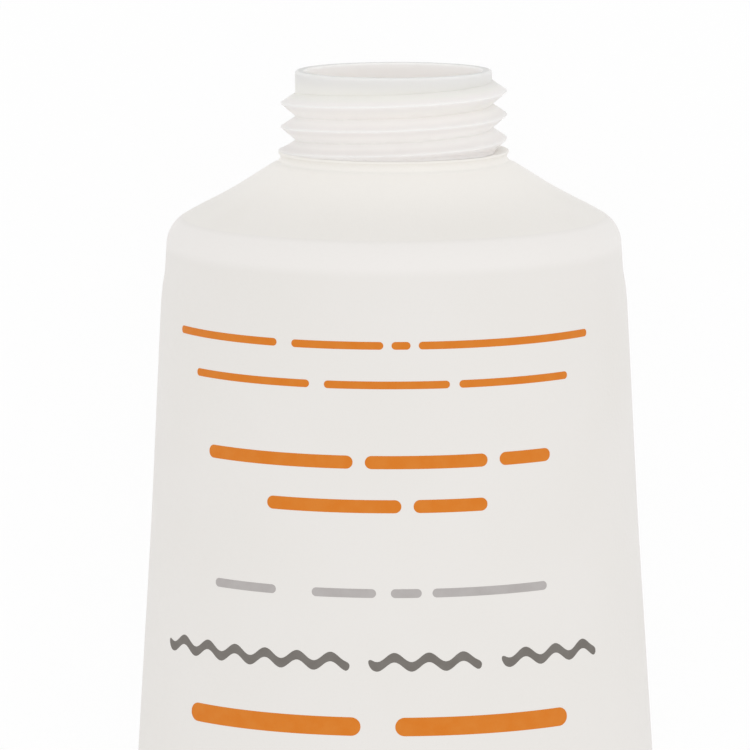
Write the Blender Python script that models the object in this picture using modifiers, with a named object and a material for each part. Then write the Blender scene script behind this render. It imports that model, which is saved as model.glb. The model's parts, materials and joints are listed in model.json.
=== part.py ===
"""An open squeeze tube of cream that lies on its back with its neck pointing along +Y.

The sleeve is round at the shoulder and flat at its sealed tail, the head is one moulding with a
screw neck, and the cream fills the sleeve up to the foot of the neck. Each piece is modelled
upright, with its neck along local +Z, its printed front towards local -Y and local zero at the
sharp corner where the shoulder's cone would meet the sleeve. A parent empty then lays the tube
down as it rests by itself, and the soft sleeve is pressed flat where it meets the table.
"""

import functools
import math

import bmesh
import bpy
import numpy as np

# Sleeve
TUBE_DIAMETER = 0.035
SLEEVE_LENGTH = 0.155
SLEEVE_WALL = 0.0005
SEAL_LENGTH = 0.005
SEAL_THICKNESS = 0.001
SEAL_BLEND_LENGTH = 0.009
HOLLOW_END_THICKNESS = 0.0006
BACK_PRESS = 0.0003

# Shoulder of the head, with the skirt that the sleeve is welded to
SHOULDER_ANGLE = math.radians(30)
SHOULDER_CORNER_RADIUS = 0.0025
SHOULDER_WALL = 0.0011
SKIRT_LENGTH = 0.001
SKIRT_WALL = 0.0008
SKIRT_INNER_ROUND = 0.0004

# Neck
NECK_HEIGHT = 0.0067
NECK_DIAMETER = 0.0151
BORE_DIAMETER = 0.0135
RIM_ROUND = 0.0002
NECK_FOOT_DIAMETER = 0.01705
BEAD_DIAMETER = 0.0177
BEAD_CREST_HEIGHT = 0.00035
BEAD_HEIGHT = 0.0009
BORE_FOOT_ROUND = 0.0005

# Screw thread on the neck
THREAD_DIAMETER = 0.0173
THREAD_PITCH = 0.00183
THREAD_UPPER_FLANK = 0.00078
THREAD_LOWER_FLANK = 0.00098
THREAD_CREST = 0.0003
THREAD_DROP = 0.00157
THREAD_SINK = 0.0003
THREAD_RUN_IN_ANGLE = math.radians(35)
THREAD_SWEEP_ANGLE = math.radians(935)
THREAD_FADE_ANGLE = math.radians(35)

# Cream
CREAM_CROWN = 0.0005

# Clearance between pieces that touch on the real tube
FIT_GAP = 0.0003

# Counts
TURNED_STEPS = 48
SLEEVE_SIDES = 48
CREAM_SIDES = 24
TAPER_STATIONS = 16
SEAL_BLEND_STATIONS = 5
CORNER_STEPS = 12
ROUND_STEPS = 2
THREAD_STEPS_PER_TURN = 36
HALVINGS = 40
CONTACT_SAMPLES = 256

# How square the sealed tail's section is, where 2 is an ellipse, and how late in the blend it
# turns square: it first has to be nearly flat, or its corners would stand out as a hump
ELLIPSE_POWER = 2
SEAL_POWER = 10
SQUARING_LATENESS = 4

# An edge that turns by more than this is shaded as a sharp one
SHARP_TURN = math.radians(40)

RADIUS = TUBE_DIAMETER / 2
SHOULDER_RISE = (RADIUS - NECK_FOOT_DIAMETER / 2) * math.tan(SHOULDER_ANGLE)
RIM_LEVEL = SHOULDER_RISE + NECK_HEIGHT
CORNER_TURN = math.pi / 2 - SHOULDER_ANGLE
CORNER_SETBACK = SHOULDER_CORNER_RADIUS * math.tan(CORNER_TURN / 2)
SKIRT_DROP = CORNER_SETBACK + SKIRT_LENGTH
TAPER_LENGTH = SLEEVE_LENGTH - SEAL_LENGTH - SKIRT_DROP


def clear_scene():
    for old in list(bpy.data.objects):
        bpy.data.objects.remove(old, do_unlink=True)
    for old in list(bpy.data.collections):
        bpy.data.collections.remove(old)


def new_collection(name):
    made = bpy.data.collections.new(name)
    bpy.context.scene.collection.children.link(made)
    return made


def linear(screen_share):
    """A colour channel as the screen shows it, turned into the value that a material takes."""
    if screen_share <= 0.04045:
        return screen_share / 12.92
    return ((screen_share + 0.055) / 1.055) ** 2.4


def plain_material(name, screen_colour_shares, roughness_share):
    material = bpy.data.materials.new(name)
    material.use_nodes = True
    shader = material.node_tree.nodes["Principled BSDF"]
    shader.inputs["Base Color"].default_value = [linear(c) for c in screen_colour_shares] + [1]
    shader.inputs["Roughness"].default_value = roughness_share
    shader.inputs["Metallic"].default_value = 0
    return material


def smooth_step(share):
    """Zero up to 0, one from 1, with level ends between them."""
    held = min(max(share, 0), 1)
    return held * held * (3 - 2 * held)


def arc(centre, radius, start, end, steps):
    """Points (r, z) on an arc in the profile's plane, with angles from the +r direction."""
    angles = [start + (end - start) * step / steps for step in range(steps + 1)]
    return [(centre[0] + radius * math.cos(a), centre[1] + radius * math.sin(a)) for a in angles]


def shoulder_point(radius, inset=0):
    """The point of the shoulder's cone at this radius, moved into the material by the inset."""
    return radius, (RADIUS - radius) * math.tan(SHOULDER_ANGLE) - inset / math.cos(SHOULDER_ANGLE)


def sleeve_section(depth, inset=0):
    """Half width, half depth and power of the sleeve's section, this far below the skirt.

    The flat tail is half the round sleeve's way around, and a straight line joins the two in
    width. The half depth is the one that keeps the ellipse's way around the same: Ramanujan's
    formula solved for it. Near the seal both turn into the flat, square-ended section.
    """
    share = min(max(depth / TAPER_LENGTH, 0), 1)
    half_width = RADIUS * (1 + (math.pi / 2 - 1) * share)
    linear_term = 8 * half_width - 12 * RADIUS
    constant_term = 6 * half_width**2 - 12 * RADIUS * half_width + 4 * RADIUS**2
    half_depth = (math.sqrt(linear_term**2 - 24 * constant_term) - linear_term) / 12
    pressed = smooth_step(1 - (TAPER_LENGTH - depth) / SEAL_BLEND_LENGTH)
    half_depth += (SEAL_THICKNESS / 2 - half_depth) * pressed
    power = ELLIPSE_POWER + (SEAL_POWER - ELLIPSE_POWER) * pressed**SQUARING_LATENESS
    return half_width - inset, half_depth - inset, power


@functools.cache
def resting_contact():
    """Where the back of the lying tube touches the table, and how fast the back rises there.

    The tube touches under its centre of mass, taken from the areas of the sleeve's sections, each
    its width times its depth. The answer is a depth below the skirt, the half depth there and the
    back's slope.
    """
    depths = np.linspace(0, TAPER_LENGTH - SEAL_BLEND_LENGTH, CONTACT_SAMPLES)
    sections = np.array([sleeve_section(depth)[:2] for depth in depths])
    areas = sections[:, 0] * sections[:, 1]
    contact = (areas * depths).sum() / areas.sum()
    slopes = np.gradient(sections[:, 1], depths)
    return contact, np.interp(contact, depths, sections[:, 1]), np.interp(contact, depths, slopes)


def table_line(depth):
    """How far behind the tube's axis the table lies, this far below the skirt."""
    contact, half_depth, slope = resting_contact()
    return half_depth + slope * (depth - contact) - BACK_PRESS


def depth_where(half_depth_wanted):
    """How far below the skirt the sleeve's half depth has come down to this, by halving."""
    above, below = 0, TAPER_LENGTH
    for _ in range(HALVINGS):
        middle = (above + below) / 2
        if sleeve_section(middle)[1] > half_depth_wanted:
            above = middle
        else:
            below = middle
    return above


def ring(half_width, half_depth, power, level, sides):
    """Points around a superellipse at this level, counted from +X towards +Y."""
    points = []
    for side in range(sides):
        angle = 2 * math.pi * side / sides
        across = math.cos(angle)
        rise = max(1 - abs(across) ** power, 0) ** (1 / power)
        points.append((half_width * across, math.copysign(half_depth * rise, math.sin(angle)), level))
    return points


def round_ring(radius, level, sides):
    return ring(radius, radius, ELLIPSE_POWER, level, sides)


def taper_depths(end_depth):
    """Depths below the skirt for the sleeve's rings: even ones, then closer ones at the seal."""
    blend_start = TAPER_LENGTH - SEAL_BLEND_LENGTH
    even = [blend_start * step / TAPER_STATIONS for step in range(TAPER_STATIONS)]
    steps = range(SEAL_BLEND_STATIONS + 1)
    close = [blend_start + (end_depth - blend_start) * step / SEAL_BLEND_STATIONS for step in steps]
    return even + close


def tapered_ring(depth, inset, sides):
    """A ring of the sleeve this far below the skirt, flat where the table presses its back."""
    back = table_line(depth) - inset
    free = ring(*sleeve_section(depth, inset), -SKIRT_DROP - depth, sides)
    return [(x, min(y, back), z) for x, y, z in free]


def tapered_rings(end_depth, inset, sides):
    return [tapered_ring(depth, inset, sides) for depth in taper_depths(end_depth)]


def add_object(name, mesh, collection, material=None):
    made = bpy.data.objects.new(name, mesh)
    collection.objects.link(made)
    if material:
        mesh.materials.append(material)
    return made


def loft(name, rings, collection, material=None):
    """A closed surface through rings of equally many points, with both ends capped."""
    shape = bmesh.new()
    loops = [[shape.verts.new(point) for point in points] for points in rings]
    for upper, lower in zip(loops, loops[1:]):
        for side in range(len(upper)):
            after = (side + 1) % len(upper)
            shape.faces.new((upper[side], upper[after], lower[after], lower[side]))
    shape.faces.new(loops[0])
    shape.faces.new(loops[-1])
    bmesh.ops.recalc_face_normals(shape, faces=shape.faces)
    mesh = bpy.data.meshes.new(name)
    shape.to_mesh(mesh)
    shape.free()
    return add_object(name, mesh, collection, material)


def turned(name, profile, collection, material):
    """A closed profile of (r, z) points, run down its outer side first, turned about the axis."""
    mesh = bpy.data.meshes.new(name)
    count = len(profile)
    edges = [(point, (point + 1) % count) for point in range(count)]
    mesh.from_pydata([(r, 0, z) for r, z in profile], edges, [])
    made = add_object(name, mesh, collection, material)
    screw = made.modifiers.new("turn", "SCREW")
    screw.axis = "Z"
    screw.steps = TURNED_STEPS
    screw.render_steps = TURNED_STEPS
    screw.use_merge_vertices = True
    screw.merge_threshold = RIM_ROUND / 20
    screw.use_smooth_shade = True
    return made


def sleeve_corner(inset):
    """The arc that turns from the upright wall to the shoulder's cone, bottom to top."""
    centre = (RADIUS - SHOULDER_CORNER_RADIUS, -CORNER_SETBACK)
    return arc(centre, SHOULDER_CORNER_RADIUS - inset, 0, CORNER_TURN, CORNER_STEPS)


def make_sleeve(collection):
    """One surface up the inside, over the turned-in top edge and down the outside to the tail."""
    hollow_end = depth_where(SLEEVE_WALL + HOLLOW_END_THICKNESS / 2)
    inner_taper = tapered_rings(hollow_end, SLEEVE_WALL, SLEEVE_SIDES)
    inner_corner = [round_ring(r, z, SLEEVE_SIDES) for r, z in sleeve_corner(SLEEVE_WALL)]
    outer_corner = [round_ring(r, z, SLEEVE_SIDES) for r, z in sleeve_corner(0)]
    outer_taper = tapered_rings(TAPER_LENGTH, 0, SLEEVE_SIDES)
    tail = ring(*sleeve_section(TAPER_LENGTH), -SLEEVE_LENGTH, SLEEVE_SIDES)
    rings = inner_taper[::-1] + inner_corner + outer_corner[::-1] + outer_taper + [tail]
    material = plain_material("sleeve_plastic", (0.92, 0.90, 0.89), 0.45)
    sleeve = loft("tube_sleeve", rings, collection, material)
    sleeve.data.shade_smooth()
    sleeve.data.set_sharp_from_angle(angle=SHARP_TURN)
    return sleeve


def neck_outline():
    """The neck's outer side, from the rim's rounded edge down to the foot of the bead."""
    neck_radius = NECK_DIAMETER / 2
    foot_radius = NECK_FOOT_DIAMETER / 2
    bead_radius = BEAD_DIAMETER / 2
    bead_top = SHOULDER_RISE + BEAD_HEIGHT
    bead_middle = SHOULDER_RISE + BEAD_HEIGHT / 2
    rim_centre = (neck_radius - RIM_ROUND, RIM_LEVEL - RIM_ROUND)
    return arc(rim_centre, RIM_ROUND, math.pi / 2, 0, ROUND_STEPS) + [
        (neck_radius, bead_top),
        (bead_radius, bead_middle + BEAD_CREST_HEIGHT / 2),
        (bead_radius, bead_middle - BEAD_CREST_HEIGHT / 2),
        (foot_radius, SHOULDER_RISE),
    ]


def shoulder_outline():
    """The cone down to the sleeve's edge, the rebate under that edge, and the skirt."""
    sunk = SLEEVE_WALL + FIT_GAP
    edge_radius, edge_level = sleeve_corner(0)[-1]
    inward, upward = math.cos(SHOULDER_ANGLE), math.sin(SHOULDER_ANGLE)
    lip = (edge_radius - FIT_GAP * inward, edge_level + FIT_GAP * upward)
    lip_foot = (lip[0] - sunk * upward, lip[1] - sunk * inward)
    skirt_outside = RADIUS - sunk
    return [lip, lip_foot] + sleeve_corner(sunk)[::-1] + [(skirt_outside, -SKIRT_DROP)]


def inner_outline():
    """The skirt's inside, the cone's underside and the bore, from the bottom up."""
    skirt_inside = RADIUS - SLEEVE_WALL - FIT_GAP - SKIRT_WALL
    bore_radius = BORE_DIAMETER / 2
    rounded = SKIRT_INNER_ROUND * math.tan(CORNER_TURN / 2)
    corner_level = shoulder_point(skirt_inside, SHOULDER_WALL)[1]
    skirt_centre = (skirt_inside - SKIRT_INNER_ROUND, corner_level - rounded)
    foot_level = shoulder_point(bore_radius, SHOULDER_WALL)[1]
    eased = BORE_FOOT_ROUND * math.tan(CORNER_TURN / 2)
    foot_centre = (bore_radius + BORE_FOOT_ROUND, foot_level + eased)
    rim_centre = (bore_radius + RIM_ROUND, RIM_LEVEL - RIM_ROUND)
    return (
        [(skirt_inside, -SKIRT_DROP)]
        + arc(skirt_centre, SKIRT_INNER_ROUND, 0, CORNER_TURN, ROUND_STEPS)
        + arc(foot_centre, BORE_FOOT_ROUND, math.pi + CORNER_TURN, math.pi, ROUND_STEPS)
        + arc(rim_centre, RIM_ROUND, math.pi, math.pi / 2, ROUND_STEPS)
    )


def thread_section(angle, height_share):
    """The ridge's section at this angle, sunk into the neck and as high as the share says.

    Its flank towards the rim is the steeper one. Both flanks are counted from the crest's middle.
    """
    neck_radius = NECK_DIAMETER / 2
    crest_radius = neck_radius + (THREAD_DIAMETER / 2 - neck_radius) * height_share
    level = RIM_LEVEL - THREAD_DROP + THREAD_PITCH * angle / (2 * math.pi)
    buried = neck_radius - THREAD_SINK
    outline = [
        (buried, THREAD_UPPER_FLANK),
        (neck_radius, THREAD_UPPER_FLANK),
        (crest_radius, THREAD_CREST / 2),
        (crest_radius, -THREAD_CREST / 2),
        (neck_radius, -THREAD_LOWER_FLANK),
        (buried, -THREAD_LOWER_FLANK),
    ]
    if height_share < 0:
        outline[1] = (crest_radius, THREAD_UPPER_FLANK)
        outline[4] = (crest_radius, -THREAD_LOWER_FLANK)
    return [(r * math.cos(angle), r * math.sin(angle), level + z) for r, z in outline]


def make_thread(collection):
    """A right-hand ridge of one start that grows out of the neck and runs down into the bead."""
    steps = round(THREAD_STEPS_PER_TURN * THREAD_SWEEP_ANGLE / (2 * math.pi))
    under_share = -THREAD_SINK / (THREAD_DIAMETER - NECK_DIAMETER)
    rings = []
    for step in range(steps + 1):
        swept = THREAD_SWEEP_ANGLE * step / steps
        run_in = smooth_step(swept / THREAD_FADE_ANGLE)
        run_out = smooth_step((THREAD_SWEEP_ANGLE - swept) / THREAD_FADE_ANGLE)
        height_share = under_share + (1 - under_share) * min(run_in, run_out)
        rings.append(thread_section(THREAD_RUN_IN_ANGLE - swept, height_share))
    ridge = loft("thread_ridge", rings, collection)
    ridge.hide_render = True
    ridge.display_type = "WIRE"
    return ridge


def make_head(collection, guides):
    profile = neck_outline() + shoulder_outline() + inner_outline()
    material = plain_material("head_plastic", (0.93, 0.915, 0.90), 0.4)
    head = turned("tube_head", profile, collection, material)
    join = head.modifiers.new("thread", "BOOLEAN")
    join.operation = "UNION"
    join.solver = "EXACT"
    join.object = make_thread(guides)
    return head, join.object


def make_cream(collection):
    """The cream follows the walls round it a fit gap away, with a low crown below the bore."""
    skirt_clear = RADIUS - SLEEVE_WALL - FIT_GAP - SKIRT_WALL - FIT_GAP
    sleeve_clear = SLEEVE_WALL + FIT_GAP
    plug_radius = BORE_DIAMETER / 2 - FIT_GAP
    cone_inset = SHOULDER_WALL + FIT_GAP
    plug_foot = shoulder_point(plug_radius, cone_inset)
    below_skirt = -SKIRT_DROP - FIT_GAP
    tail_depth = depth_where(sleeve_clear + HOLLOW_END_THICKNESS / 2)
    lengths = [depth for depth in taper_depths(tail_depth) if depth > FIT_GAP]
    turned_top = [
        (plug_radius / 2, plug_foot[1] + CREAM_CROWN),
        plug_foot,
        shoulder_point(skirt_clear, cone_inset),
        (skirt_clear, below_skirt),
    ]
    rings = [round_ring(r, z, CREAM_SIDES) for r, z in turned_top]
    rings += [tapered_ring(depth, sleeve_clear, CREAM_SIDES) for depth in [FIT_GAP] + lengths]
    material = plain_material("cream", (0.96, 0.94, 0.90), 0.3)
    return loft("cream", rings, collection, material)


def lay_down(pieces, collection):
    """Turns the tube on to its back and puts the middle of its underside at the origin."""
    holder = bpy.data.objects.new("tube_axis", None)
    collection.objects.link(holder)
    for piece in pieces:
        piece.parent = holder
    holder.rotation_euler.x = -math.atan(resting_contact()[2]) - math.pi / 2
    bpy.context.view_layer.update()
    depsgraph = bpy.context.evaluated_depsgraph_get()
    points = []
    for piece in pieces:
        shown = piece.evaluated_get(depsgraph)
        points += [shown.matrix_world @ corner.co for corner in shown.to_mesh().vertices]
        shown.to_mesh_clear()
    reach = np.array(points)
    low, high = reach.min(axis=0), reach.max(axis=0)
    holder.location = (-(low[0] + high[0]) / 2, -(low[1] + high[1]) / 2, -low[2])


def main():
    clear_scene()
    parts = new_collection("squeeze_tube")
    guides = new_collection("guides")
    sleeve = make_sleeve(parts)
    head, thread = make_head(parts, guides)
    cream = make_cream(parts)
    thread.parent = head
    lay_down([sleeve, head, cream], parts)


main()
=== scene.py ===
"""The looks of an open squeeze tube of cream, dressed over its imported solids.

Every piece is worked out in the tube's own frame: x across it, y towards its back and z up its neck,
with zero in the middle of the neck's rim. The neck's mount in the record gives the place of that
frame. A length down the tube from the rim is called a drop. All sizes are in metres.
"""

import json
import math

import bmesh
import bpy
import numpy as np
from mathutils import Matrix, Vector


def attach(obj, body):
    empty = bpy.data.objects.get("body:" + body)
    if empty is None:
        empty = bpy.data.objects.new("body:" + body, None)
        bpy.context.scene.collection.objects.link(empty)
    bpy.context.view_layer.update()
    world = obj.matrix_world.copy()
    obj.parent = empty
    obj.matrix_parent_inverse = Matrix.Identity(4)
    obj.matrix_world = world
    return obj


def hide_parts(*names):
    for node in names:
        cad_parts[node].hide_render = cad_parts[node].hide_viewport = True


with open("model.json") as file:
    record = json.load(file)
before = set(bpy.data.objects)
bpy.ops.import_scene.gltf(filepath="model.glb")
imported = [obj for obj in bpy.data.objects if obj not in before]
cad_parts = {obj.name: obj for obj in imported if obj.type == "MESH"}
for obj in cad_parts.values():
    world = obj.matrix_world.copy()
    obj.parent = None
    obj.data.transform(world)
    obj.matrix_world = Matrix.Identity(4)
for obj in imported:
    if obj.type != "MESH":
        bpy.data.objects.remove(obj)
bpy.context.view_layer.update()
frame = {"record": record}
MM_PER_METRE = 1000

# Sleeve and seal
TUBE_RADIUS = 0.0175
SLEEVE_LENGTH = 0.155
SLEEVE_WALL = 0.0005
SEAL_LENGTH = 0.005
SEAL_THICKNESS = 0.001
SEAL_BLEND_LENGTH = 0.009
SEAL_POWER = 10
SEAL_END_POWER = 16
SQUARING_LATENESS = 4
BACK_PRESS = 0.0003
DENT_DEPTH = 0.00007
DENT_LENGTH = 0.046
# A dent wave is its height, its waves round the sleeve, its twist along it and its phase
DENT_WAVES = ((1, 2, 0.7, 0.4), (0.6, 3, -1.1, 2.1))
BULGE = 0.00024
BULGE_RISE_LENGTH = 0.003
BULGE_LENGTH = 0.024
RIB_PITCH = 0.0014
RIB_HEIGHT = 0.0002
SLAB_THICKNESS = 0.00058

# Shoulder, and the sleeve's edge that is turned in over it
SHOULDER_ANGLE = math.radians(30)
CORNER_RADIUS = 0.0025
SHOULDER_WALL = 0.0011
SKIRT_LENGTH = 0.001
SKIRT_WALL = 0.0008
EDGE_THICKNESS = 0.000012
EDGE_STEP = 0.000004
SHOULDER_SINK = 0.00013

# Neck
NECK_HEIGHT = 0.0067
NECK_RADIUS = 0.00755
BORE_RADIUS = 0.00675
RIM_ROUND = 0.0002
NECK_FOOT_RADIUS = 0.008525
BEAD_RADIUS = 0.00885
BEAD_TOP_DROP = 0.00612
BEAD_CREST_DROP = 0.00625
BEAD_ROUND = 0.00012
BEAD_CREST_TURN = math.radians(60)
BEAD_FILLET = 0.00055
CREVICE_SHARES = (0.1, 0.35)
CREVICE_RISE_LENGTH = 0.0002
JOIN_POWER = 6

# Screw thread
THREAD_RADIUS = 0.0087
THREAD_PITCH = 0.00183
THREAD_UPPER_FLANK = 0.00078
THREAD_LOWER_FLANK = 0.00098
THREAD_CREST_SHARE = 0.06
THREAD_DROP = 0.00157
THREAD_START = math.radians(35)
THREAD_END = math.radians(-950)
THREAD_FADE = math.radians(35)

# Cream
FIT_GAP = 0.0003
CREAM_GAP = 0.00004
CREAM_CROWN = 0.0005
CREAM_SWIRL = 0.00012
CREAM_TAIL_SETBACK = 0.0034
CROWN_POLE_SHARE = 0.02
SWIRL_WAVES = 2
SWIRL_TURN = 7

# Counts of points round a piece, of rings along it and of samples
SLEEVE_SIDES = 256
HEAD_SIDES = 320
CREAM_SIDES = 128
CORNER_STEPS = 18
RIM_STEPS = 6
BEAD_STEPS = 10
FILLET_STEPS = 8
SLEEVE_INSIDE_RINGS = 50
SLEEVE_OUTSIDE_RINGS = 130
SEAL_BLEND_RINGS = 36
SEAL_RINGS = 5
SEAL_BAND_RINGS = 25
SEAL_BAND_COLUMNS = 600
CROWN_RINGS = 28
CREAM_BODY_RINGS = 90
CONTACT_SAMPLES = 256
SECTION_SAMPLES = 2000

# Longest steps along a profile, and what counts as one point, as a sliver and as a sharp edge
THREAD_STEP = 0.000036
BEAD_FLANK_STEP = 0.00006
SHOULDER_STEP = 0.0005
HEAD_INSIDE_STEP = 0.0006
BORE_STEP = 0.0003
CREAM_STEP = 0.001
MERGE_DISTANCE = 2e-7
SLIVER_LENGTH = 1e-8
SHARP_TURN = math.radians(60)

SHOULDER_RISE = (TUBE_RADIUS - NECK_FOOT_RADIUS) * math.tan(SHOULDER_ANGLE)
CORNER_DROP = NECK_HEIGHT + SHOULDER_RISE
CORNER_TURN = math.pi / 2 - SHOULDER_ANGLE
CORNER_SETBACK = CORNER_RADIUS * math.tan(CORNER_TURN / 2)
CORNER_CENTRE = (TUBE_RADIUS - CORNER_RADIUS, CORNER_DROP + CORNER_SETBACK)
SKIRT_DROP = CORNER_DROP + CORNER_SETBACK + SKIRT_LENGTH
SEAL_DROP = CORNER_DROP + SLEEVE_LENGTH - SEAL_LENGTH
TAIL_DROP = CORNER_DROP + SLEEVE_LENGTH
TAPER_LENGTH = SEAL_DROP - SKIRT_DROP

# The photograph's view: the camera's rise is counted from square to the neck
PHOTO_SIDE_PX = 750
TUBE_CENTRE_PX = 394.3
LENS_PX = 4458
SENSOR_MM = 36
CAMERA_DISTANCE = 0.345
CAMERA_RISE = math.radians(8.8)
CAMERA_ROLL = math.radians(-0.15)
AIM_DROP = 0.02364

NECK_RIM = next(mount for mount in frame["record"]["mounts"] if mount["name"] == "neck_rim")
RIM_MIDDLE = np.array([0, *NECK_RIM["pos_m"][1:]])
ACROSS = np.array([1.0, 0, 0])
UP_NECK = np.array(NECK_RIM["axis"])
BACKWARDS = np.array([0, UP_NECK[2], -UP_NECK[1]])
TURN = np.array([ACROSS, BACKWARDS, UP_NECK])


def laid(points):
    """Points (..., 3) of the tube's own frame, where they lie in the room."""
    return RIM_MIDDLE + np.asarray(points, float) @ TURN


def smooth_step(share):
    """Zero up to 0, one from 1, and between them the cubic with level ends."""
    held = np.clip(share, 0, 1)
    return held * held * (3 - 2 * held)


def together(*parts):
    """Arrays of x, y and z, spread over one grid of points."""
    return np.stack(np.broadcast_arrays(*parts), -1)


def grid_faces(points, first_index, ring):
    """Quads over a grid of (rows, columns) that closes along its columns, and its end fans.

    A ring also joins its last row to its first. Otherwise each end row closes on a middle point,
    which comes after the grid's own points.
    """
    rows, columns = points.shape[:2]
    index = first_index + np.arange(rows * columns).reshape(rows, columns)
    index = np.hstack([index, index[:, :1]])
    spots = points.reshape(-1, 3)
    if ring:
        index = np.vstack([index, index[:1]])
        fans = []
    else:
        spots = np.vstack([spots, points[[0, -1]].mean(axis=1)])
        head, tail = first_index + rows * columns, first_index + rows * columns + 1
        top = np.stack([index[0, 1:], index[0, :-1], np.full(columns, head)], -1)
        foot = np.stack([index[-1, :-1], index[-1, 1:], np.full(columns, tail)], -1)
        fans = top.tolist() + foot.tolist()
    quads = np.stack([index[:-1, :-1], index[:-1, 1:], index[1:, 1:], index[1:, :-1]], -1)
    return spots, quads.reshape(-1, 4).tolist() + fans


def surface(name, grids, material, ring=False):
    """One piece from closed grids of points, its poles merged and its faces turned outwards."""
    spots, faces, count = [], [], 0
    for points in grids:
        more, over = grid_faces(points, count, ring)
        spots.append(more)
        faces += over
        count += len(more)
    mesh = bpy.data.meshes.new(name)
    mesh.from_pydata(laid(np.vstack(spots)), [], faces)
    shape = bmesh.new()
    shape.from_mesh(mesh)
    bmesh.ops.remove_doubles(shape, verts=shape.verts, dist=MERGE_DISTANCE)
    bmesh.ops.dissolve_degenerate(shape, dist=SLIVER_LENGTH, edges=shape.edges)
    bmesh.ops.recalc_face_normals(shape, faces=shape.faces)
    shape.to_mesh(mesh)
    shape.free()
    mesh.materials.append(material)
    mesh.shade_smooth()
    mesh.set_sharp_from_angle(angle=SHARP_TURN)
    made = bpy.data.objects.new(name, mesh)
    bpy.context.scene.collection.objects.link(made)
    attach(made, "root")
    return made


def in_tube_frame(items, title):
    """What foreach_get gives for points or faces, as x, y and z of the tube's own frame."""
    spots = np.empty(len(items) * 3)
    items.foreach_get(title, spots)
    return (spots.reshape(-1, 3) - RIM_MIDDLE) @ TURN.T


def mark_walls(piece):
    """Gives each point its drop in millimetres and how proud it stands, for materials to read.

    It is 0 proud on the neck's wall, 1 at the radius of the thread's crest and below 0 in the bore.
    """
    x, y, z = in_tube_frame(piece.data.vertices, "co").T
    proud = (np.hypot(x, y) - NECK_RADIUS) / (THREAD_RADIUS - NECK_RADIUS)
    for title, values in (("drop_mm", -z * MM_PER_METRE), ("proud_share", proud)):
        piece.data.attributes.new(title, "FLOAT", "POINT").data.foreach_set("value", values)


def mark_neck(head, material):
    """Gives the head a second material down to the bead, and only smooth edges down to the shoulder."""
    head.data.materials.append(material)
    heights = in_tube_frame(head.data.polygons, "center")[:, 2]
    head.data.polygons.foreach_set("material_index", (heights > -BEAD_TOP_DROP).astype(np.int32))
    ends = np.empty(len(head.data.edges) * 2, np.int32)
    sharp = np.empty(len(head.data.edges), bool)
    head.data.edges.foreach_get("vertices", ends)
    head.data.edges.foreach_get("use_edge_sharp", sharp)
    levels = in_tube_frame(head.data.vertices, "co")[ends.reshape(-1, 2), 2].max(axis=1)
    head.data.edges.foreach_set("use_edge_sharp", sharp & (levels < -NECK_HEIGHT - BEAD_FILLET))


def arc(centre, radius, start, end, steps):
    """Points (radius, drop) on an arc, with angles from straight outwards towards the rim."""
    angles = np.linspace(start, end, steps + 1)
    return np.stack([centre[0] + radius * np.cos(angles), centre[1] - radius * np.sin(angles)], -1)


def path(points, step):
    """A polyline through these points with a point at least every step."""
    points = np.asarray(points, float)
    pieces = []
    for start, end in zip(points[:-1], points[1:]):
        count = max(1, math.ceil(np.hypot(*(end - start)) / step))
        pieces.append(start + (end - start) * np.arange(count)[:, None] / count)
    return np.vstack([*pieces, points[-1:]])


def turned(profile, angles):
    """A profile of (radius, drop) turned about the neck's axis."""
    radius, drop = profile[:, 0, None], profile[:, 1, None]
    return together(radius * np.cos(angles), radius * np.sin(angles), -drop)


def around(sides):
    """Angles evenly round the tube, from +x."""
    return np.linspace(0, 2 * np.pi, sides, endpoint=False)


# The sleeve's form, which its own grid, the head, the print and the cream share


def corner_wall(turn):
    """The sleeve's wall at a turn of the corner's arc: full for half of it, then thinned to its edge."""
    return EDGE_THICKNESS + (SLEEVE_WALL - EDGE_THICKNESS) * smooth_step(2 * (1 - turn / CORNER_TURN))


def sleeve_section(drop):
    """Half width, half depth and power of the sleeve's section at a drop.

    The half width grows evenly from the round skirt to the flat seal, which is half the way round
    the sleeve, and the cream bulges it a little below the skirt. The half depth keeps the ellipse's
    way round the same, by Ramanujan's formula. Near the seal it blends into a flat section, which
    turns square at its ends once it is nearly flat.
    """
    depth = np.clip(drop - SKIRT_DROP, 0, TAPER_LENGTH)
    bulge = BULGE * smooth_step(depth / BULGE_RISE_LENGTH) * smooth_step(1 - depth / BULGE_LENGTH)
    half_width = TUBE_RADIUS * (1 + (math.pi / 2 - 1) * depth / TAPER_LENGTH) + bulge
    linear_term = 8 * half_width - 12 * TUBE_RADIUS
    constant_term = 6 * half_width**2 - 12 * TUBE_RADIUS * half_width + 4 * TUBE_RADIUS**2
    half_depth = (np.sqrt(linear_term**2 - 24 * constant_term) - linear_term) / 12
    pressed = smooth_step(1 - (TAPER_LENGTH - depth) / SEAL_BLEND_LENGTH)
    half_depth = half_depth + (SLAB_THICKNESS / 2 - half_depth) * pressed
    return half_width, half_depth, 2 + (SEAL_POWER - 2) * pressed**SQUARING_LATENESS


def resting_contact():
    """Where the back rests on the table: its drop, the half depth there and the back's slope.

    The drop is that of the middle of the volume between the skirt and the seal's blend.
    """
    drops = np.linspace(SKIRT_DROP, SEAL_DROP - SEAL_BLEND_LENGTH, CONTACT_SAMPLES)
    half_width, half_depth, _ = sleeve_section(drops)
    areas = half_width * half_depth
    contact = (areas * drops).sum() / areas.sum()
    slopes = np.gradient(half_depth, drops)
    return contact, np.interp(contact, drops, half_depth), np.interp(contact, drops, slopes)


CONTACT_DROP, CONTACT_DEPTH, BACK_SLOPE = resting_contact()


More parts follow.
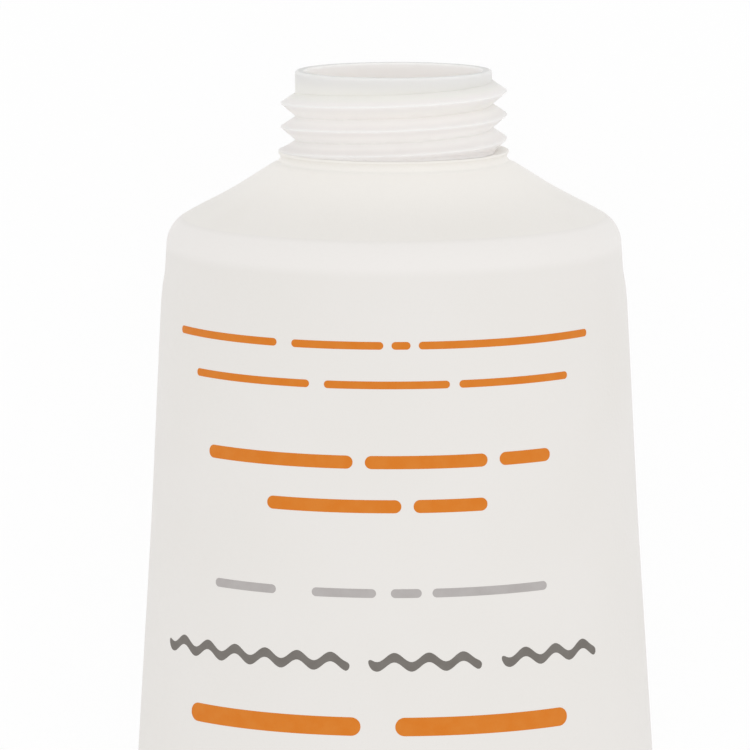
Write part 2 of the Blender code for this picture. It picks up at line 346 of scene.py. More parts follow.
def dents(angle, drop):
    """How far the soft sleeve gives way inwards: slow sine waves round it and along it.

    They fade by the squared sine to its sides, and over half a dent's length to skirt and seal.
    """
    along = 2 * np.pi * (drop - SKIRT_DROP) / DENT_LENGTH
    waves = sum(
        height * np.sin(count * angle + twist * along + phase)
        for height, count, twist, phase in DENT_WAVES
    )
    highest = sum(height for height, *_ in DENT_WAVES)
    below, above = 2 * (drop - SKIRT_DROP) / DENT_LENGTH, 2 * (SEAL_DROP - drop) / DENT_LENGTH
    held = DENT_DEPTH * smooth_step(below) * smooth_step(above) * np.sin(angle) ** 2
    return held * (highest - waves) / (2 * highest)


def sleeve_points(angle, drop, inset=0):
    """The sleeve's outside at an angle from +x towards its back, moved inwards by the inset.

    A section is a superellipse of its power. Its back goes no further than the table's plane, which
    is pressed a little into it where it rests.
    """
    half_width, half_depth, power = sleeve_section(drop)
    give = inset + dents(angle, drop)
    across = np.cos(angle)
    rise = np.clip(1 - np.abs(across) ** power, 0, 1) ** (1 / power)
    y = (half_depth - give) * rise * np.sign(np.sin(angle))
    table = CONTACT_DEPTH + BACK_SLOPE * (drop - CONTACT_DROP) - BACK_PRESS - inset
    return together((half_width - give) * across, np.minimum(y, table), -drop)


# Node groups and materials


def new_group(name, inputs, outputs):
    """An empty shader group with these sockets, and its nodes for what goes in and comes out."""
    group = bpy.data.node_groups.new(name, "ShaderNodeTree")
    for title, kind, value in inputs:
        socket = group.interface.new_socket(title, in_out="INPUT", socket_type=kind)
        if value is not None:
            socket.default_value = value
    for title, kind in outputs:
        group.interface.new_socket(title, in_out="OUTPUT", socket_type=kind)
    return group, group.nodes.new("NodeGroupInput"), group.nodes.new("NodeGroupOutput")


def node(tree, kind, inputs=None, **values):
    """A node with its properties set by name, and its inputs by a dictionary."""
    made = tree.nodes.new(kind)
    for title, value in values.items():
        setattr(made, title, value)
    for socket, value in (inputs or {}).items():
        made.inputs[socket].default_value = value
    return made


def linear(screen):
    """A colour as the screen shows it, 0 to 255, turned by the screen's curve into a shader's value."""
    channel = np.asarray(screen, float) / 255
    value = np.where(channel <= 0.04045, channel / 12.92, ((channel + 0.055) / 1.055) ** 2.4)
    return (*value.tolist(), 1)


def cloud_group():
    """Faint clouds in a moulded plastic: two colours mixed by soft noise."""
    inputs = (
        ("Colour", "NodeSocketColor", None),
        ("Cloud Colour", "NodeSocketColor", None),
        ("Amount", "NodeSocketFloat", 0.5),
        ("Clouds per Metre", "NodeSocketFloat", PLASTIC_CLOUDS_PER_METRE),
    )
    group, given, result = new_group("plastic_clouds", inputs, (("Colour", "NodeSocketColor"),))
    place = node(group, "ShaderNodeTexCoord")
    noise = node(group, "ShaderNodeTexNoise", {"Detail": 3, "Roughness": 0.55})
    spread = node(group, "ShaderNodeMapRange", {"From Min": 0.35, "From Max": 0.65})
    share = node(group, "ShaderNodeMath", operation="MULTIPLY")
    mix = node(group, "ShaderNodeMix", data_type="RGBA")
    group.links.new(place.outputs["Object"], noise.inputs["Vector"])
    group.links.new(given.outputs["Clouds per Metre"], noise.inputs["Scale"])
    group.links.new(noise.outputs["Fac"], spread.inputs["Value"])
    group.links.new(spread.outputs["Result"], share.inputs[0])
    group.links.new(given.outputs["Amount"], share.inputs[1])
    group.links.new(share.outputs[0], mix.inputs["Factor"])
    group.links.new(given.outputs["Colour"], mix.inputs["A"])
    group.links.new(given.outputs["Cloud Colour"], mix.inputs["B"])
    group.links.new(mix.outputs["Result"], result.inputs["Colour"])
    return group


def skin_group():
    """A moulded skin: fine grain as a normal, and roughness that handling has varied."""
    inputs = (
        ("Roughness", "NodeSocketFloat", 0.4),
        ("Rubbed Roughness", "NodeSocketFloat", 0.5),
        ("Grains per Metre", "NodeSocketFloat", PLASTIC_GRAINS_PER_METRE),
        ("Grain Height", "NodeSocketFloat", 0.000012),
    )
    outputs = (("Roughness", "NodeSocketFloat"), ("Normal", "NodeSocketVector"))
    group, given, result = new_group("moulded_skin", inputs, outputs)
    place = node(group, "ShaderNodeTexCoord")
    rubs = node(group, "ShaderNodeTexNoise", {"Scale": 160, "Detail": 4, "Roughness": 0.6})
    spread = node(group, "ShaderNodeMapRange", {"From Min": 0.4, "From Max": 0.65})
    mix = node(group, "ShaderNodeMix", data_type="FLOAT")
    grain = node(group, "ShaderNodeTexNoise", {"Detail": 2, "Roughness": 0.5})
    bump = node(group, "ShaderNodeBump")
    group.links.new(place.outputs["Object"], rubs.inputs["Vector"])
    group.links.new(place.outputs["Object"], grain.inputs["Vector"])
    group.links.new(given.outputs["Grains per Metre"], grain.inputs["Scale"])
    group.links.new(rubs.outputs["Fac"], spread.inputs["Value"])
    group.links.new(spread.outputs["Result"], mix.inputs["Factor"])
    group.links.new(given.outputs["Roughness"], mix.inputs["A"])
    group.links.new(given.outputs["Rubbed Roughness"], mix.inputs["B"])
    group.links.new(grain.outputs["Fac"], bump.inputs["Height"])
    group.links.new(given.outputs["Grain Height"], bump.inputs["Distance"])
    group.links.new(mix.outputs["Result"], result.inputs["Roughness"])
    group.links.new(bump.outputs["Normal"], result.inputs["Normal"])
    return group


# Colours as the screen shows them. A cloud is the faint second colour of a plastic or the cream
SLEEVE_WHITE = (233, 230, 226)
SLEEVE_CLOUD = (235, 232, 229)
# Lighter band over the corner: partly the head backing the thin wall, partly a painted highlight where
# the corner catches the light
CORNER_BACKED_AND_LIT_WHITE = (238, 235, 232)
HEAD_WHITE = (235, 232, 227)
HEAD_CLOUD = (237, 234, 230)
# Painted light: the shoulder's top and the bead are painted lighter, for the glow near the neck and the
# bead's lost light
SHOULDER_TOP_LIT_WHITE = (245, 242, 237)
# Painted shade: the neck's plain colour shows at the rim's rounded top and fades down the upper neck,
# darker than the head
NECK_WHITE = (224, 223, 221)
NECK_CLOUD = (227, 226, 225)
UPPER_NECK_WHITE = (237, 236, 232)
# Painted light: the lower neck is painted lighter, where the bead's crease and the shoulder take away
# light
LOWER_NECK_LIT_WHITE = (247, 244, 242)
# Painted shade: the thread's crests are painted greyer, to flatten the thread's shading
CREST_SHADE_WHITE = (236, 233, 231)
# Painted light: the bore is painted paler, against the shade in its recess
BORE_LIT_WHITE = (244, 241, 239)
# Painted shade: the rim's face is painted grey
RIM_FACE_SHADE_GREY = (212, 212, 210)
CREAM_WHITE = (242, 239, 233)
CREAM_CLOUD = (244, 242, 238)
ORANGE_INK = (217, 123, 34)
ORANGE_WORN = (220, 134, 51)
LIGHT_GREY_INK = (178, 173, 171)
LIGHT_GREY_WORN = (188, 184, 182)
DARK_GREY_INK = (117, 112, 107)
DARK_GREY_WORN = (129, 125, 120)

# Where a second colour comes in: drops in millimetres, or shares of the thread's height
CORNER_BAND_MM = (11.1, 11.5, 13.0, 13.9)
SHOULDER_TOP_LIGHT_MM = (11, 6.5)
UPPER_NECK_MM = (0.2, 1.6)
LOWER_NECK_LIGHT_MM = (1.8, 3.4)
CREST_SHADE_SHARES = (0.3, 0.8)
BORE_LIGHT_SHARES = (-0.5, -0.65)
RIM_FACE_SHADE_SHARES = (-0.1, -0.25, -0.5, -0.65)

# Roughness of each skin, new and rubbed
SLEEVE_ROUGHNESS = (0.4, 0.5)
HEAD_ROUGHNESS = (0.36, 0.46)
NECK_ROUGHNESS = (0.5, 0.6)
CREAM_ROUGHNESS = (0.2, 0.3)
INK_ROUGHNESS = (0.4, 0.5)

# Gloss, how deep light goes into the neck, and how fine the clouds and the grain are
DRY_GLOSS = 0.15
WET_GLOSS = 0.5
NECK_GLOW_DEPTH = 0.0009
PLASTIC_CLOUDS_PER_METRE = 100
PLASTIC_GRAINS_PER_METRE = 3000
CREAM_GRAINS_PER_METRE = 900
INK_GRAINS_PER_METRE = 6000
INK_PATCHES_PER_METRE = 900

CLOUDS = cloud_group()
SKIN = skin_group()


def use_group(tree, group, values):
    """A shader group placed in a material with its own values."""
    made = node(tree, "ShaderNodeGroup", node_tree=group)
    for title, value in values.items():
        made.inputs[title].default_value = value
    return made


def moulded(name, clouds, skin, glow=0, glow_depth=0.001, gloss=DRY_GLOSS):
    """A plastic, paste or ink of clouds and skin, which lets light in by the glow, to a small depth.

    The gloss is its specular level, which is 0.5 on a real plastic.
    """
    material = bpy.data.materials.new(name)
    material.use_nodes = True
    tree = material.node_tree
    shader = tree.nodes["Principled BSDF"]
    shader.inputs["Subsurface Weight"].default_value = glow
    shader.inputs["Subsurface Radius"].default_value = (1, 1, 1)
    shader.inputs["Subsurface Scale"].default_value = glow_depth
    shader.inputs["Specular IOR Level"].default_value = gloss
    colour = use_group(tree, CLOUDS, clouds)
    finish = use_group(tree, SKIN, skin)
    tree.links.new(colour.outputs["Colour"], shader.inputs["Base Color"])
    tree.links.new(finish.outputs["Roughness"], shader.inputs["Roughness"])
    tree.links.new(finish.outputs["Normal"], shader.inputs["Normal"])
    return material


def clouded(colour, cloud, clouds_per_metre=PLASTIC_CLOUDS_PER_METRE):
    """The cloud group's values for two colours as the screen shows them."""
    return {
        "Colour": linear(colour),
        "Cloud Colour": linear(cloud),
        "Clouds per Metre": clouds_per_metre,
    }


def rubbed(roughness, rubbed_roughness, grains_per_metre=PLASTIC_GRAINS_PER_METRE):
    """The skin group's values."""
    return {
        "Roughness": roughness,
        "Rubbed Roughness": rubbed_roughness,
        "Grains per Metre": grains_per_metre,
    }


def mixed_in(material, attribute, stops, colour):
    """Mixes a second colour into a material's own, by an attribute of the surface.

    Its share rises from 0 to 1 between the first two stops. With four stops it then falls to 0
    between the last two.
    """
    tree = material.node_tree
    base = tree.nodes["Principled BSDF"].inputs["Base Color"]
    plain = base.links[0].from_socket
    read = node(tree, "ShaderNodeAttribute", attribute_name=attribute)
    rise_stops = {"From Min": stops[0], "From Max": stops[1]}
    share = node(tree, "ShaderNodeMapRange", rise_stops, interpolation_type="SMOOTHSTEP")
    tree.links.new(read.outputs["Fac"], share.inputs["Value"])
    if len(stops) > 2:
        fall_stops = {"From Min": stops[3], "From Max": stops[2]}
        fall = node(tree, "ShaderNodeMapRange", fall_stops, interpolation_type="SMOOTHSTEP")
        both = node(tree, "ShaderNodeMath", operation="MULTIPLY")
        tree.links.new(read.outputs["Fac"], fall.inputs["Value"])
        tree.links.new(share.outputs["Result"], both.inputs[0])
        tree.links.new(fall.outputs["Result"], both.inputs[1])
        share = both
    mix = node(tree, "ShaderNodeMix", data_type="RGBA")
    mix.inputs["B"].default_value = linear(colour)
    tree.links.new(share.outputs[0], mix.inputs["Factor"])
    tree.links.new(plain, mix.inputs["A"])
    tree.links.new(mix.outputs["Result"], base)
    return material


def sleeve_material():
    """Soft white plastic, lighter over the corner: partly the head's shoulder backing the thin wall,
    partly painted highlight.
    """
    plain = clouded(SLEEVE_WHITE, SLEEVE_CLOUD)
    material = moulded("sleeve_plastic", plain, rubbed(*SLEEVE_ROUGHNESS))
    return mixed_in(material, "drop_mm", CORNER_BAND_MM, CORNER_BACKED_AND_LIT_WHITE)


def head_material():
    """Natural white plastic, painted lighter up the shoulder and over the bead: painted light for the
    glow near the neck.
    """
    plain = clouded(HEAD_WHITE, HEAD_CLOUD)
    material = moulded("head_plastic", plain, rubbed(*HEAD_ROUGHNESS))
    return mixed_in(material, "drop_mm", SHOULDER_TOP_LIGHT_MM, SHOULDER_TOP_LIT_WHITE)


def neck_material():
    """The head's plastic in the neck, which lets light through its thin walls.

    It is painted with light and shade: painted shade greys its top at the rim and the rim's face, and
    painted light makes the bore pale and the neck lighter and warmer down towards the bead, standing in
    for the light that the cream behind it sends back. Painted shade greys the thread's crests.
    """
    plain = clouded(NECK_WHITE, NECK_CLOUD)
    skin = rubbed(*NECK_ROUGHNESS)
    material = moulded("neck_plastic", plain, skin, glow=1, glow_depth=NECK_GLOW_DEPTH)
    mixed_in(material, "drop_mm", UPPER_NECK_MM, UPPER_NECK_WHITE)
    mixed_in(material, "drop_mm", LOWER_NECK_LIGHT_MM, LOWER_NECK_LIT_WHITE)
    mixed_in(material, "proud_share", CREST_SHADE_SHARES, CREST_SHADE_WHITE)
    mixed_in(material, "proud_share", BORE_LIGHT_SHARES, BORE_LIT_WHITE)
    return mixed_in(material, "proud_share", RIM_FACE_SHADE_SHARES, RIM_FACE_SHADE_GREY)


def cream_material():
    """Off-white paste, wet and so glossier than the plastics, with a coarser skin."""
    plain = clouded(CREAM_WHITE, CREAM_CLOUD)
    skin = rubbed(*CREAM_ROUGHNESS, CREAM_GRAINS_PER_METRE)
    return moulded("cream_paste", plain, skin, gloss=WET_GLOSS)


def ink(name, colour, worn):
    """Printed ink: its colour thins in small patches."""
    patches = clouded(colour, worn, INK_PATCHES_PER_METRE)
    return moulded(name, patches, rubbed(*INK_ROUGHNESS, INK_GRAINS_PER_METRE))


# Pieces


def make_sleeve(material):
    """The sleeve: up its inside, over its thinned edge on the shoulder, and down to the tail.

    The corner's rings are circles on an arc. Below the skirt each ring is the sleeve's section.
    """
    angles = around(SLEEVE_SIDES)
    turns = np.linspace(0, CORNER_TURN, CORNER_STEPS + 1)
    inner_corner = arc(CORNER_CENTRE, CORNER_RADIUS - corner_wall(turns), 0, CORNER_TURN, CORNER_STEPS)
    outer_corner = arc(CORNER_CENTRE, CORNER_RADIUS, CORNER_TURN, 0, CORNER_STEPS)
    inner_drops = np.linspace(SEAL_DROP - SEAL_LENGTH / 2, SKIRT_DROP, SLEEVE_INSIDE_RINGS)
    outer_drops = np.concatenate([
        np.linspace(SKIRT_DROP, SEAL_DROP - SEAL_BLEND_LENGTH, SLEEVE_OUTSIDE_RINGS)[1:-1],
        np.linspace(SEAL_DROP - SEAL_BLEND_LENGTH, SEAL_DROP, SEAL_BLEND_RINGS)[:-1],
        np.linspace(SEAL_DROP, TAIL_DROP, SEAL_RINGS),
    ])
    points = np.vstack([
        sleeve_points(angles, inner_drops[:, None], SLEEVE_WALL),
        turned(np.vstack([inner_corner, outer_corner]), angles),
        sleeve_points(angles, outer_drops[:, None]),
    ])
    sleeve = surface("sleeve_shell", [points], material)
    mark_walls(sleeve)
    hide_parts("tube_sleeve")


def make_seal(material):
    """The pressed band round the sleeve's flat end, with fine ribs along the tube on both faces.

    The grooves are the square of a raised cosine across the width. The band runs out at its sides by
    a smooth step, and at its ends by a high power of the way to them.
    """
    half_width = sleeve_section(TAIL_DROP)[0] - RIB_PITCH / 2
    across = np.linspace(-half_width, half_width, SEAL_BAND_COLUMNS)
    drops = np.linspace(SEAL_DROP, TAIL_DROP, SEAL_BAND_RINGS)[:, None]
    ends = 1 - np.abs(np.linspace(-1, 1, SEAL_BAND_RINGS)[:, None]) ** SEAL_END_POWER
    sides = smooth_step((half_width - np.abs(across)) / RIB_PITCH)
    grooves = RIB_HEIGHT * ((1 - np.cos(2 * np.pi * across / RIB_PITCH)) / 2) ** 2
    half = (SEAL_THICKNESS / 2 - grooves) * sides * ends
    front = together(across, -half, -drops)
    back = together(across, half, -drops)[:, ::-1]
    seal = surface("tail_seal_band", [np.hstack([front, back[:, 1:-1]])], material)


def thread_rise(angle, drop):
    """How far the thread stands out of the neck, at angles from -pi to pi.

    It is one right-hand ridge, whose crest drops by the pitch in each turn. Its section has a steeper
    flank towards the rim, and a parabola rounds its crest. It fades in and out at its ends, and the
    highest turn at each place counts.
    """
    rise = np.zeros(np.broadcast(angle, drop).shape)
    turns = math.ceil((math.pi - THREAD_END) / (2 * math.pi))
    for turn in range(turns):
        sweep = angle - 2 * math.pi * turn
        crest_drop = THREAD_DROP - THREAD_PITCH * sweep / (2 * math.pi)
        fade_in = smooth_step((THREAD_START - sweep) / THREAD_FADE)
        fade = fade_in * smooth_step((sweep - THREAD_END) / THREAD_FADE)
        below = drop - crest_drop
        away = np.where(below < 0, -below / THREAD_UPPER_FLANK, below / THREAD_LOWER_FLANK)
        crest = (away**2 / THREAD_CREST_SHARE + THREAD_CREST_SHARE) / 2
        blunt = np.where(away < THREAD_CREST_SHARE, crest, away)
        rise = np.maximum(rise, fade * np.clip(1 - blunt, 0, 1) / (1 - THREAD_CREST_SHARE / 2))
    return rise * (THREAD_RADIUS - NECK_RADIUS)


def neck_profile():
    """The neck's outer side from the rim down, closely stepped for the thread.

    A quadratic curve fills the crease between the bead's crest and the shoulder.
    """
    rim = arc((NECK_RADIUS - RIM_ROUND, RIM_ROUND), RIM_ROUND, math.pi / 2, 0, RIM_STEPS)
    wall = path([(NECK_RADIUS, RIM_ROUND), (NECK_RADIUS, BEAD_TOP_DROP)], THREAD_STEP)
    crest_centre = (BEAD_RADIUS - BEAD_ROUND, BEAD_CREST_DROP)
    crest = arc(crest_centre, BEAD_ROUND, BEAD_CREST_TURN, -BEAD_CREST_TURN, BEAD_STEPS)
    foot = np.array([NECK_FOOT_RADIUS, NECK_HEIGHT])
    start = foot + BEAD_FILLET * np.array([math.cos(SHOULDER_ANGLE), math.sin(SHOULDER_ANGLE)])
    share = np.linspace(0, 1, FILLET_STEPS + 1)[1:, None]
    under = (1 - share) ** 2 * crest[-1] + 2 * share * (1 - share) * foot + share**2 * start
    flank = path([wall[-1], crest[0]], BEAD_FLANK_STEP)[1:-1]
    return np.vstack([rim, wall[1:], flank, crest, under])


def under_shoulder(radius, depth):
    """The drop, at a radius, of a cone this deep under the shoulder's own, counted square to it."""
    cone = CORNER_DROP - (TUBE_RADIUS - radius) * math.tan(SHOULDER_ANGLE)
    return cone + depth / math.cos(SHOULDER_ANGLE)


def make_head(material, neck_plastic):
    """The head: one closed profile turned about the neck, with the thread added to its radius.

    Its shoulder sinks by a squared half sine wave between neck and sleeve, and runs on under the
    sleeve's thinned edge. Where the thread comes down on the bead, the crevice is filled by what the
    thread lacks of the bead's height, which dies away exponentially above the bead. The fill grows as
    the share of the thread's height at the bead's top goes between the crevice's two shares. At each
    place the thread and the bead then join by a high root of the sum of their same powers, and no
    higher than the bead.
    """
    inward, upward = math.cos(SHOULDER_ANGLE), math.sin(SHOULDER_ANGLE)
    turns = np.linspace(CORNER_TURN, 0, CORNER_STEPS + 1)
    buried = corner_wall(turns) + EDGE_STEP + (FIT_GAP - EDGE_STEP) * (1 - turns / CORNER_TURN)
    lip = arc(CORNER_CENTRE, CORNER_RADIUS, CORNER_TURN, CORNER_TURN, 1)[0]
    skirt_outside = TUBE_RADIUS - SLEEVE_WALL - FIT_GAP
    skirt_inside = skirt_outside - SKIRT_WALL
    inner_corner = (skirt_inside, under_shoulder(skirt_inside, SHOULDER_WALL))
    bore_foot = (BORE_RADIUS, under_shoulder(BORE_RADIUS, SHOULDER_WALL))
    neck = neck_profile()
    shoulder = path([neck[-1], lip], SHOULDER_STEP)[1:]
    along = np.linspace(0, 1, len(shoulder) + 1)[1:, None]
    shoulder += np.array([-upward, inward]) * SHOULDER_SINK * np.sin(math.pi * along) ** 2
    inside = [(skirt_outside, SKIRT_DROP), (skirt_inside, SKIRT_DROP), inner_corner, bore_foot]
    rim_centre = (BORE_RADIUS + RIM_ROUND, RIM_ROUND)
    profile = np.vstack([
        neck,
        shoulder,
        arc(CORNER_CENTRE, CORNER_RADIUS - buried, CORNER_TURN, 0, CORNER_STEPS),
        path(inside, HEAD_INSIDE_STEP),
        path([bore_foot, (BORE_RADIUS, RIM_ROUND)], BORE_STEP)[1:],
        arc(rim_centre, RIM_ROUND, math.pi, math.pi / 2, RIM_STEPS)[1:],
    ])
    angles = np.linspace(-np.pi, np.pi, HEAD_SIDES, endpoint=False)
    points = turned(profile, angles)
    radius, drop = neck[:, 0, None], neck[:, 1, None]
    bead, thread = np.maximum(radius - NECK_RADIUS, 0), thread_rise(angles, drop)
    height = BEAD_RADIUS - NECK_RADIUS
    touch = thread_rise(angles, BEAD_TOP_DROP)
    start, end = (share * (THREAD_RADIUS - NECK_RADIUS) for share in CREVICE_SHARES)
    fill = (height - touch) * smooth_step((touch - start) / (end - start))
    thread = thread + fill * np.exp(-np.abs(BEAD_TOP_DROP - drop) / CREVICE_RISE_LENGTH)
    joined = np.minimum((bead**JOIN_POWER + thread**JOIN_POWER) ** (1 / JOIN_POWER), height)
    wound = np.where(drop > RIM_ROUND, NECK_RADIUS + joined, radius)
    points[: len(neck)] = together(wound * np.cos(angles), wound * np.sin(angles), -drop)
    head = surface("head_moulding", [points], material, ring=True)
    mark_walls(head)
    mark_neck(head, neck_plastic)
    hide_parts("tube_head")


def make_cream(material):
    """The cream: a crown with a soft swirl, the shoulder's inside, and the sleeve's inside.

    The crown's section is half an ellipse. The swirl is a wave round it whose phase turns with the
    radius. It dies out at the crown's middle and edge, and its value is the deepest that it goes.
    """
    angles = around(CREAM_SIDES)
    plug_radius = BORE_RADIUS - CREAM_GAP
    plug_drop = under_shoulder(plug_radius, SHOULDER_WALL + CREAM_GAP)
    skirt_radius = TUBE_RADIUS - SLEEVE_WALL - FIT_GAP - SKIRT_WALL - FIT_GAP
    skirt_top = under_shoulder(skirt_radius, SHOULDER_WALL + CREAM_GAP)
    shares = np.linspace(CROWN_POLE_SHARE, 1, CROWN_RINGS)
    crown = np.stack([plug_radius * shares, plug_drop - CREAM_CROWN * np.sqrt(1 - shares**2)], -1)
    side = path([crown[-1], (skirt_radius, skirt_top), (skirt_radius, SKIRT_DROP + FIT_GAP)], CREAM_STEP)
    top = turned(np.vstack([crown, side[1:]]), angles)
    spread = shares[:, None] ** 2
    wave = np.sin(SWIRL_WAVES * angles + SWIRL_TURN * shares[:, None]) - 1
    top[: len(crown), :, 2] += CREAM_SWIRL * wave * 2 * spread * (1 - spread)
    drops = np.linspace(SKIRT_DROP + FIT_GAP, SEAL_DROP - CREAM_TAIL_SETBACK, CREAM_BODY_RINGS)
    body = sleeve_points(angles, drops[:, None], SLEEVE_WALL + FIT_GAP)
    cream = surface("cream_fill", [np.vstack([top, body])], material)
    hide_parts("cream")


# Print: rows of plain round-ended bars. A row is its drop, its bars' height and the bars' ends

INK_PROUD = 0.000006
INK_ROOT = 0.00003
BAR_STEP = 0.00015
BAR_LEAST_STEPS = 8
BAR_END_POINTS = 10
BAR_POINTS_ACROSS = 5
FILM_STEEPNESS = 3
FINE_ORANGE_ROWS = (
    (0.01885, 0.00058, ((-0.0160, -0.0087), (-0.0076, -0.0008), (-0.0002, 0.0012), (0.0018, 0.0144))),
    (0.02182, 0.00058, ((-0.0148, -0.0063), (-0.0052, 0.0041), (0.0048, 0.0129))),
)
BOLD_ORANGE_ROWS = (
    (0.02765, 0.001, ((-0.0139, -0.0031), (-0.0022, 0.0069), (0.0078, 0.0116))),
    (0.03100, 0.001, ((-0.0095, 0.0005), (0.0014, 0.0069))),
)
LARGE_ORANGE_ROWS = (
    (0.04800, 0.00145, ((-0.0155, -0.0026), (0.0000, 0.0130))),
)
LIGHT_GREY_ROWS = (
    (0.03765, 0.00068, ((-0.0135, -0.0089), (-0.0062, -0.0014), (-0.0003, 0.0020), (0.0028, 0.0114))),
)
DARK_GREY_ROWS = (
    (0.04296, 0.00074, ((-0.0172, -0.0034), (-0.0020, 0.0065), (0.0080, 0.0152))),
)
WAVE_HEIGHT = 0.00036
WAVE_LENGTH = 0.0026


def printed_bar(drop, height, ends, wave=0):
    """A thin closed film on the sleeve's front between two ends across it, with round ends.

    Its points follow the way round the section. Its half height there is that of a stadium, and its
    middle line is a sine wave of this height. At its ends it grows out of the sleeve by a smooth step
    of its steepness times the share of the full half height.
    """
    angles = np.linspace(-np.pi, 0, SECTION_SAMPLES)
    section = sleeve_points(angles, drop)
    way = np.concatenate([[0], np.cumsum(np.hypot(*np.diff(section[:, :2], axis=0).T))])
    start, end = np.interp(ends, section[:, 0], way)
    half = height / 2
    opening = np.linspace(0, np.pi / 2, BAR_END_POINTS)[:-1]
    closing = opening[::-1]
    count = max(BAR_LEAST_STEPS, round((end - start) / BAR_STEP))
    straight = np.linspace(start + half, end - half, count)
    first, last = start + half * (1 - np.cos(opening)), end - half * (1 - np.cos(closing))
    along = np.concatenate([first, straight, last])
    wide = half * np.concatenate([np.sin(opening), np.ones(count), np.sin(closing)])
    middle = drop + wave * np.sin(2 * np.pi * (along - start) / WAVE_LENGTH)
    spots_drop = middle[:, None] + wide[:, None] * np.linspace(-1, 1, BAR_POINTS_ACROSS)
    spots_angle = np.interp(along, way, angles)[:, None]
    film = smooth_step(wide / half * FILM_STEEPNESS)[:, None]
    top = sleeve_points(spots_angle, spots_drop, -INK_PROUD * film)
    root = sleeve_points(spots_angle, spots_drop, INK_ROOT * film)
    return np.concatenate([top, root[:, ::-1]], axis=1)


def make_print(name, rows, material, wave=0):
    """All bars of these rows as one piece."""
    films = [printed_bar(drop, height, ends, wave) for drop, height, bars in rows for ends in bars]
    surface(name, films, material)


# Stage

FLOOR_WHITE_SHARE = 0.95
FLOOR_REACH = 3
FLOOR_SUNK = 0.0001
FLOOR_SHADE = 0.9
FLOOR_ROUGHNESS = 0.9
ROOM_LIGHT = 0.95
LAMP_AIM = (0, 0.03, 0)
LAMP_SIDE = 0.6
KEY_PLACE = (0.4, 0.1, 0.45)
KEY_WATTS = 0.24
FILL_PLACE = (-0.4, 0.1, 0.45)
FILL_WATTS = 0.11


def looked_at(tree):
    """One where the camera looks, straight, by a reflection or through something clear, else zero."""
    rays = node(tree, "ShaderNodeLightPath")
    straight = node(tree, "ShaderNodeMath", operation="MAXIMUM")
    seen = node(tree, "ShaderNodeMath", operation="MAXIMUM")
    tree.links.new(rays.outputs["Is Camera Ray"], straight.inputs[0])
    tree.links.new(rays.outputs["Is Glossy Ray"], straight.inputs[1])
    tree.links.new(straight.outputs[0], seen.inputs[0])
    tree.links.new(rays.outputs["Is Transmission Ray"], seen.inputs[1])
    return seen.outputs[0]


def make_floor():
    """A pale floor that looks white to the camera and keeps a little of the tube's shadow."""
    signs = ((-1, -1), (1, -1), (1, 1), (-1, 1))
    corners = [(x * FLOOR_REACH, y * FLOOR_REACH, -FLOOR_SUNK) for x, y in signs]
    mesh = bpy.data.meshes.new("floor")
    mesh.from_pydata(corners, [], [(0, 1, 2, 3)])
    floor = bpy.data.objects.new("floor", mesh)
    bpy.context.scene.collection.objects.link(floor)
    material = bpy.data.materials.new("floor_white")
    material.use_nodes = True
    tree = material.node_tree
    shader = tree.nodes["Principled BSDF"]
    shader.inputs["Base Color"].default_value = (FLOOR_SHADE, FLOOR_SHADE, FLOOR_SHADE, 1)
    shader.inputs["Roughness"].default_value = FLOOR_ROUGHNESS
    white = node(tree, "ShaderNodeEmission", {"Color": (1, 1, 1, 1), "Strength": 1})
    share = node(tree, "ShaderNodeMath", {1: FLOOR_WHITE_SHARE}, operation="MULTIPLY")
    mix = node(tree, "ShaderNodeMixShader")
    tree.links.new(looked_at(tree), share.inputs[0])
    tree.links.new(share.outputs[0], mix.inputs["Fac"])
    tree.links.new(shader.outputs["BSDF"], mix.inputs[1])
    tree.links.new(white.outputs["Emission"], mix.inputs[2])
    tree.links.new(mix.outputs["Shader"], tree.nodes["Material Output"].inputs["Surface"])
    mesh.materials.append(material)


def make_room(light):
    """Even white light from all round, and full white where the camera or a reflection looks."""
    world = bpy.data.worlds.new("studio")
    bpy.context.scene.world = world
    world.use_nodes = True
    tree = world.node_tree
    back = tree.nodes["Background"]
    back.inputs["Color"].default_value = (1, 1, 1, 1)
    strength = node(tree, "ShaderNodeMapRange", {"To Min": light, "To Max": 1})
    tree.links.new(looked_at(tree), strength.inputs["Value"])
    tree.links.new(strength.outputs["Result"], back.inputs["Strength"])


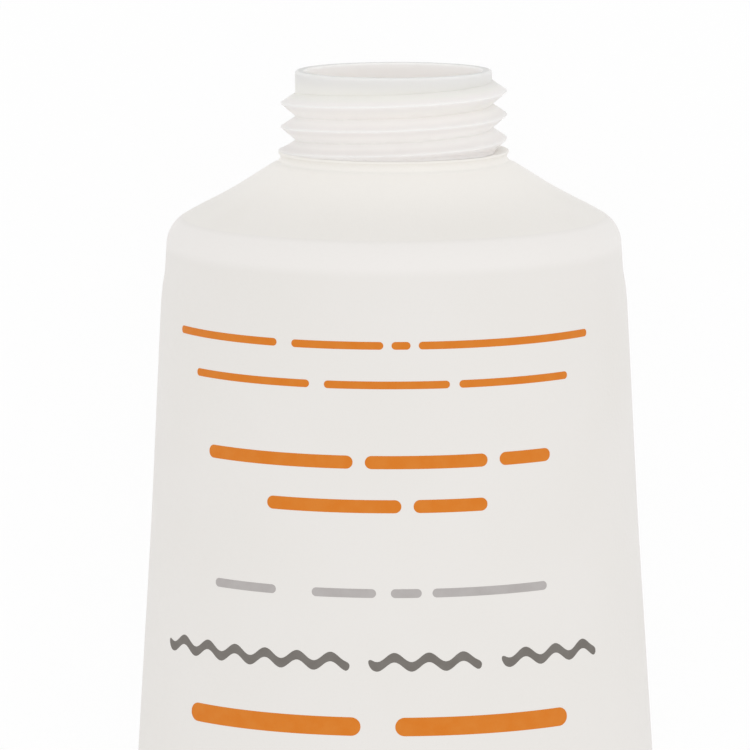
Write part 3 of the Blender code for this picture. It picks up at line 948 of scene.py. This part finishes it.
def soft_box(name, place, watts):
    """A square studio light that looks at the tube."""
    lamp = bpy.data.lights.new(name, "AREA")
    lamp.size = LAMP_SIDE
    lamp.energy = watts
    made = bpy.data.objects.new(name, lamp)
    bpy.context.scene.collection.objects.link(made)
    made.location = place
    made.rotation_euler = (Vector(LAMP_AIM) - Vector(place)).to_track_quat("-Z", "Y").to_euler()


def make_camera():
    """The photograph's view: over the front, raised towards the neck, with the neck at the top."""
    camera = bpy.data.cameras.new("camera")
    camera.sensor_width = SENSOR_MM
    camera.lens = LENS_PX / PHOTO_SIDE_PX * SENSOR_MM
    camera.shift_x = 0.5 - TUBE_CENTRE_PX / PHOTO_SIDE_PX
    made = bpy.data.objects.new("camera", camera)
    bpy.context.scene.collection.objects.link(made)
    away = np.array([0, -math.cos(CAMERA_RISE), math.sin(CAMERA_RISE)])
    place = laid(np.array([0, 0, -AIM_DROP]) + away * CAMERA_DISTANCE)
    backwards = away @ TURN
    upwards = np.cross(backwards, ACROSS)
    facing = Matrix([ACROSS, upwards, backwards]).transposed().to_4x4()
    made.matrix_world = Matrix.Translation(place) @ facing @ Matrix.Rotation(CAMERA_ROLL, 4, "Z")
    bpy.context.scene.camera = made


sleeve_plastic = sleeve_material()
make_sleeve(sleeve_plastic)
make_seal(sleeve_plastic)
make_head(head_material(), neck_material())
make_cream(cream_material())
orange_ink = ink("ink_orange", ORANGE_INK, ORANGE_WORN)
make_print("print_fine_orange", FINE_ORANGE_ROWS, orange_ink)
make_print("print_bold_orange", BOLD_ORANGE_ROWS, orange_ink)
make_print("print_large_orange", LARGE_ORANGE_ROWS, orange_ink)
light_grey_ink = ink("ink_light_grey", LIGHT_GREY_INK, LIGHT_GREY_WORN)
make_print("print_light_grey", LIGHT_GREY_ROWS, light_grey_ink)
dark_grey_ink = ink("ink_dark_grey", DARK_GREY_INK, DARK_GREY_WORN)
make_print("print_dark_grey", DARK_GREY_ROWS, dark_grey_ink, WAVE_HEIGHT)

make_floor()
make_room(ROOM_LIGHT)
soft_box("key", KEY_PLACE, KEY_WATTS)
soft_box("fill", FILL_PLACE, FILL_WATTS)
make_camera()
bpy.context.scene.view_settings.view_transform = "Standard"
